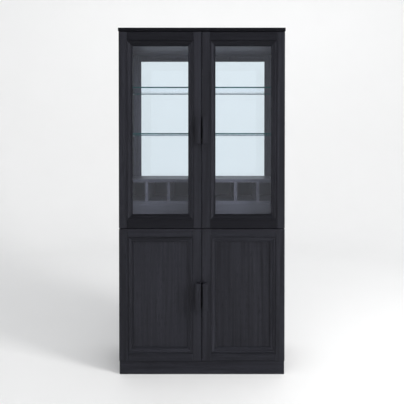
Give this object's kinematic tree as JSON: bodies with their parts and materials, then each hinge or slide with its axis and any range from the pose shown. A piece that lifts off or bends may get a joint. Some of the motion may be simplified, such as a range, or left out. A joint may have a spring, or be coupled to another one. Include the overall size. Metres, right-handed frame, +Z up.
{
  "type": "tall display cabinet",
  "caption": "Free-standing tall cabinet: glazed doors over panelled doors, glass shelves, a bottle rack and a recessed plinth, in black-stained oak.",
  "frame": {"origin": "on the floor, at the middle of the width and of the depth over the pulls", "axes": "+Z up, doors facing -Y, +X to the right seen from the front"},
  "size_m": [0.946, 0.482, 1.97],
  "materials": {
    "carcass_oak": "black-stained open-grain oak, satin",
    "door_oak": "black-stained open-grain oak, satin",
    "pull_oak": "black-stained oak, satin",
    "door_glass": "clear float glass",
    "back_glass": "clear float glass",
    "shelf_glass": "clear glass with polished edges",
    "hinge_metal": "nickel-plated steel"
  },
  "bodies": {
    "cabinet": {"top_cap": "carcass_oak", "side_panel_left": "carcass_oak", "side_panel_right": "carcass_oak", "top_rail_front": "carcass_oak", "top_rail_back": "carcass_oak", "ceiling_panel": "carcass_oak", "middle_deck": "carcass_oak", "bottom_deck": "carcass_oak", "back_panel": "carcass_oak", "base_shelf": "carcass_oak", "rack_top": "carcass_oak", "rack_floor": "carcass_oak", "rack_fascia": "carcass_oak", "rack_divider_1": "carcass_oak", "rack_divider_2": "carcass_oak", "rack_divider_3": "carcass_oak", "rack_divider_4": "carcass_oak", "rack_divider_5": "carcass_oak", "rack_divider_6": "carcass_oak", "back_frame": "carcass_oak", "back_glass": "back_glass", "glass_shelf_lower": "shelf_glass", "glass_shelf_upper": "shelf_glass", "plinth_frame": "carcass_oak", "hinge_arm_upper_left": "hinge_metal", "hinge_arm_upper_right": "hinge_metal", "hinge_arm_lower_left": "hinge_metal", "hinge_arm_lower_right": "hinge_metal"},
    "door_upper_left": {"door_upper_left_stile_hinge": "door_oak", "door_upper_left_stile_meeting": "door_oak", "door_upper_left_rail_top": "door_oak", "door_upper_left_rail_bottom": "door_oak", "door_upper_left_glass": "door_glass", "door_upper_left_pull": "pull_oak", "hinge_cup_upper_left": "hinge_metal"},
    "link_upper_left": {"hinge_link_upper_left": "hinge_metal"},
    "door_upper_right": {"door_upper_right_stile_hinge": "door_oak", "door_upper_right_stile_meeting": "door_oak", "door_upper_right_rail_top": "door_oak", "door_upper_right_rail_bottom": "door_oak", "door_upper_right_glass": "door_glass", "door_upper_right_pull": "pull_oak", "hinge_cup_upper_right": "hinge_metal"},
    "link_upper_right": {"hinge_link_upper_right": "hinge_metal"},
    "door_lower_left": {"door_lower_left_stile_hinge": "door_oak", "door_lower_left_stile_meeting": "door_oak", "door_lower_left_rail_top": "door_oak", "door_lower_left_rail_bottom": "door_oak", "door_lower_left_panel": "door_oak", "door_lower_left_pull": "pull_oak", "hinge_cup_lower_left": "hinge_metal"},
    "link_lower_left": {"hinge_link_lower_left": "hinge_metal"},
    "door_lower_right": {"door_lower_right_stile_hinge": "door_oak", "door_lower_right_stile_meeting": "door_oak", "door_lower_right_rail_top": "door_oak", "door_lower_right_rail_bottom": "door_oak", "door_lower_right_panel": "door_oak", "door_lower_right_pull": "pull_oak", "hinge_cup_lower_right": "hinge_metal"},
    "link_lower_right": {"hinge_link_lower_right": "hinge_metal"}
  },
  "joints": [
    {"name": "open_upper_left", "type": "hinge", "parent": "cabinet", "child": "door_upper_left", "pos_m": [-0.465, -0.188, 1.392], "axis": [0, 0, -1], "range_deg": [0, 105]},
    {"name": "swing_link_upper_left", "type": "hinge", "parent": "cabinet", "child": "link_upper_left", "pos_m": [-0.445, -0.183, 1.848], "axis": [0, 0, 1], "range_deg": [0, 42.5]},
    {"name": "open_upper_right", "type": "hinge", "parent": "cabinet", "child": "door_upper_right", "pos_m": [0.465, -0.188, 1.392], "axis": [0, 0, 1], "range_deg": [0, 105]},
    {"name": "swing_link_upper_right", "type": "hinge", "parent": "cabinet", "child": "link_upper_right", "pos_m": [0.445, -0.183, 1.848], "axis": [0, 0, -1], "range_deg": [0, 42.5]},
    {"name": "open_lower_left", "type": "hinge", "parent": "cabinet", "child": "door_lower_left", "pos_m": [-0.465, -0.188, 0.456], "axis": [0, 0, -1], "range_deg": [0, 105]},
    {"name": "swing_link_lower_left", "type": "hinge", "parent": "cabinet", "child": "link_lower_left", "pos_m": [-0.445, -0.183, 0.732], "axis": [0, 0, 1], "range_deg": [0, 42.5]},
    {"name": "open_lower_right", "type": "hinge", "parent": "cabinet", "child": "door_lower_right", "pos_m": [0.465, -0.188, 0.456], "axis": [0, 0, 1], "range_deg": [0, 105]},
    {"name": "swing_link_lower_right", "type": "hinge", "parent": "cabinet", "child": "link_lower_right", "pos_m": [0.445, -0.183, 0.732], "axis": [0, 0, -1], "range_deg": [0, 42.5]}
  ],
  "couplings": [
    {"joint": "swing_link_upper_left", "follows": "open_upper_left", "ratio": 0.4},
    {"joint": "swing_link_upper_right", "follows": "open_upper_right", "ratio": 0.4},
    {"joint": "swing_link_lower_left", "follows": "open_lower_left", "ratio": 0.4},
    {"joint": "swing_link_lower_right", "follows": "open_lower_right", "ratio": 0.4}
  ]
}
